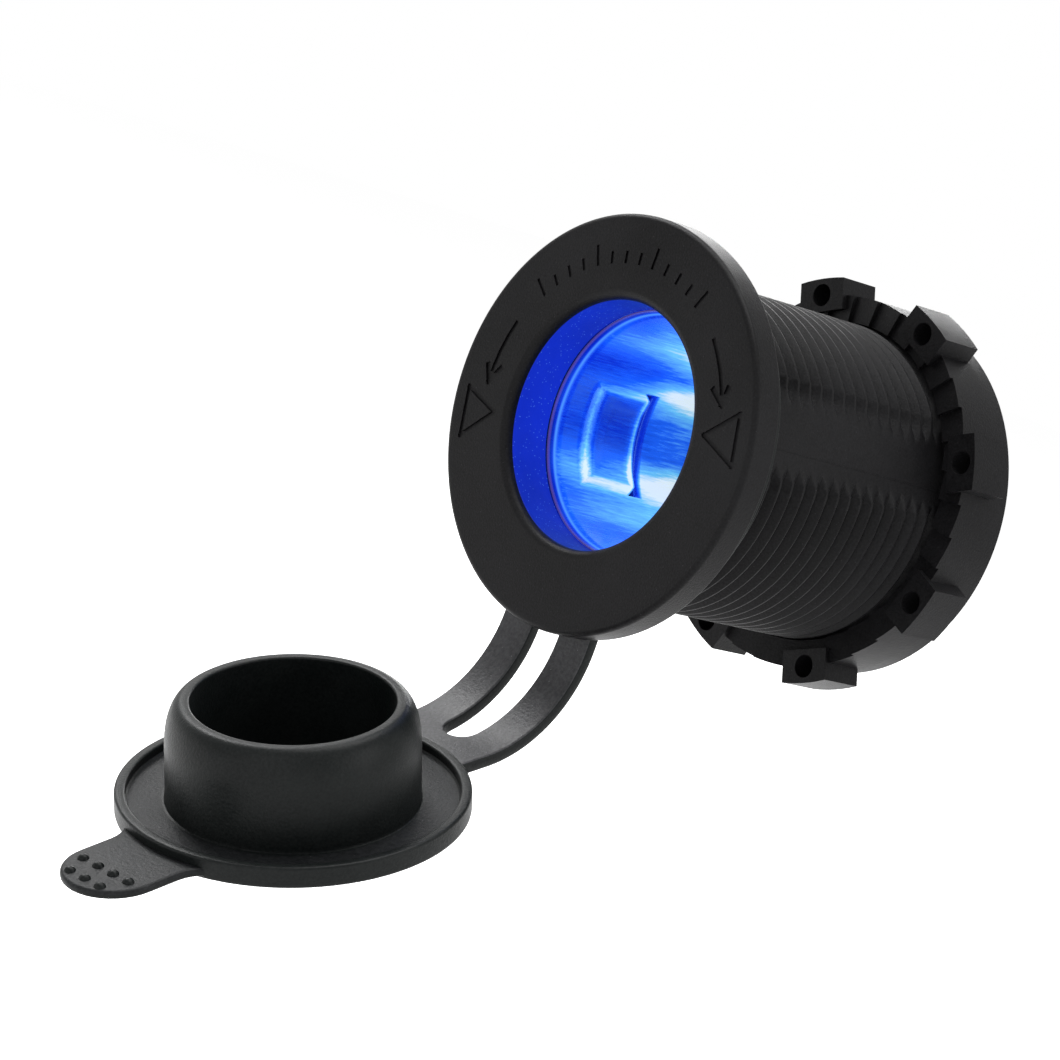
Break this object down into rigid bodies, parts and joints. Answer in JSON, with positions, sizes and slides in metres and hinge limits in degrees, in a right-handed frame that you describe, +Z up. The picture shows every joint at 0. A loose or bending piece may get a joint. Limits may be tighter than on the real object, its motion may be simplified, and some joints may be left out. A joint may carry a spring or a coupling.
{
  "type": "12 V power socket",
  "caption": "Round panel-mount low-voltage power socket with a lit mouth, threaded barrel, clamp nut and a tethered plug-in cap.",
  "frame": {"origin": "on the barrel's axis in the plane of the flange's back face", "axes": "+Y runs backwards along the barrel, the mouth faces -Y, +Z is up, and the cap's strap hangs below"},
  "size_m": [0.037, 0.0905, 0.0659],
  "materials": {
    "nylon": "black moulded nylon, finely textured",
    "cap_rubber": "black soft rubber, satin",
    "light_ring": "translucent blue, lit from behind",
    "liner_metal": "bright plated sheet",
    "board": "green solder mask",
    "led": "moulded lens, lit blue",
    "resistor": "black",
    "lead_red": "red insulation",
    "lead_black": "black insulation",
    "fibre": "brown moulded insulator",
    "brass": "turned",
    "spring_steel": "plain wire and pressings",
    "seal_rubber": "matt",
    "tinned_brass": "tinned"
  },
  "bodies": {
    "socket": {"socket_housing": "nylon", "light_ring": "light_ring", "socket_liner": "liner_metal", "cap_strap_ring": "cap_rubber", "cap_strap": "cap_rubber", "led_board": "board", "led_left": "led", "led_right": "led", "led_resistor": "resistor", "led_lead_positive": "lead_red", "led_lead_negative": "lead_black", "contact_cup": "fibre", "contact_spring": "spring_steel", "contact_stud": "brass", "rear_seal": "seal_rubber", "rear_cover": "nylon", "negative_terminal": "tinned_brass", "negative_rivet": "spring_steel", "positive_terminal": "tinned_brass", "lock_washer": "spring_steel", "stud_nut": "brass"},
    "nut": {"ring_nut": "nylon"},
    "cap": {"cap": "cap_rubber"},
    "contact": {"centre_contact": "brass"}
  },
  "joints": [
    {"name": "cap_swing", "type": "hinge", "parent": "socket", "child": "cap", "pos_m": [0, -0.00104, -0.02432], "axis": [-1, 0, 0], "range_deg": [-60, 113.6], "deforming": ["cap_strap"]},
    {"name": "nut_turn", "type": "hinge", "parent": "socket", "child": "nut", "pos_m": [0, 0.029, 0], "axis": [0, 1, 0], "continuous": true},
    {"name": "contact_press", "type": "slide", "parent": "socket", "child": "contact", "axis": [0, 1, 0], "range_m": [0, 0.002], "stiffness_N_per_m": 800, "springref_m": -0.001, "deforming": ["contact_spring"]}
  ]
}
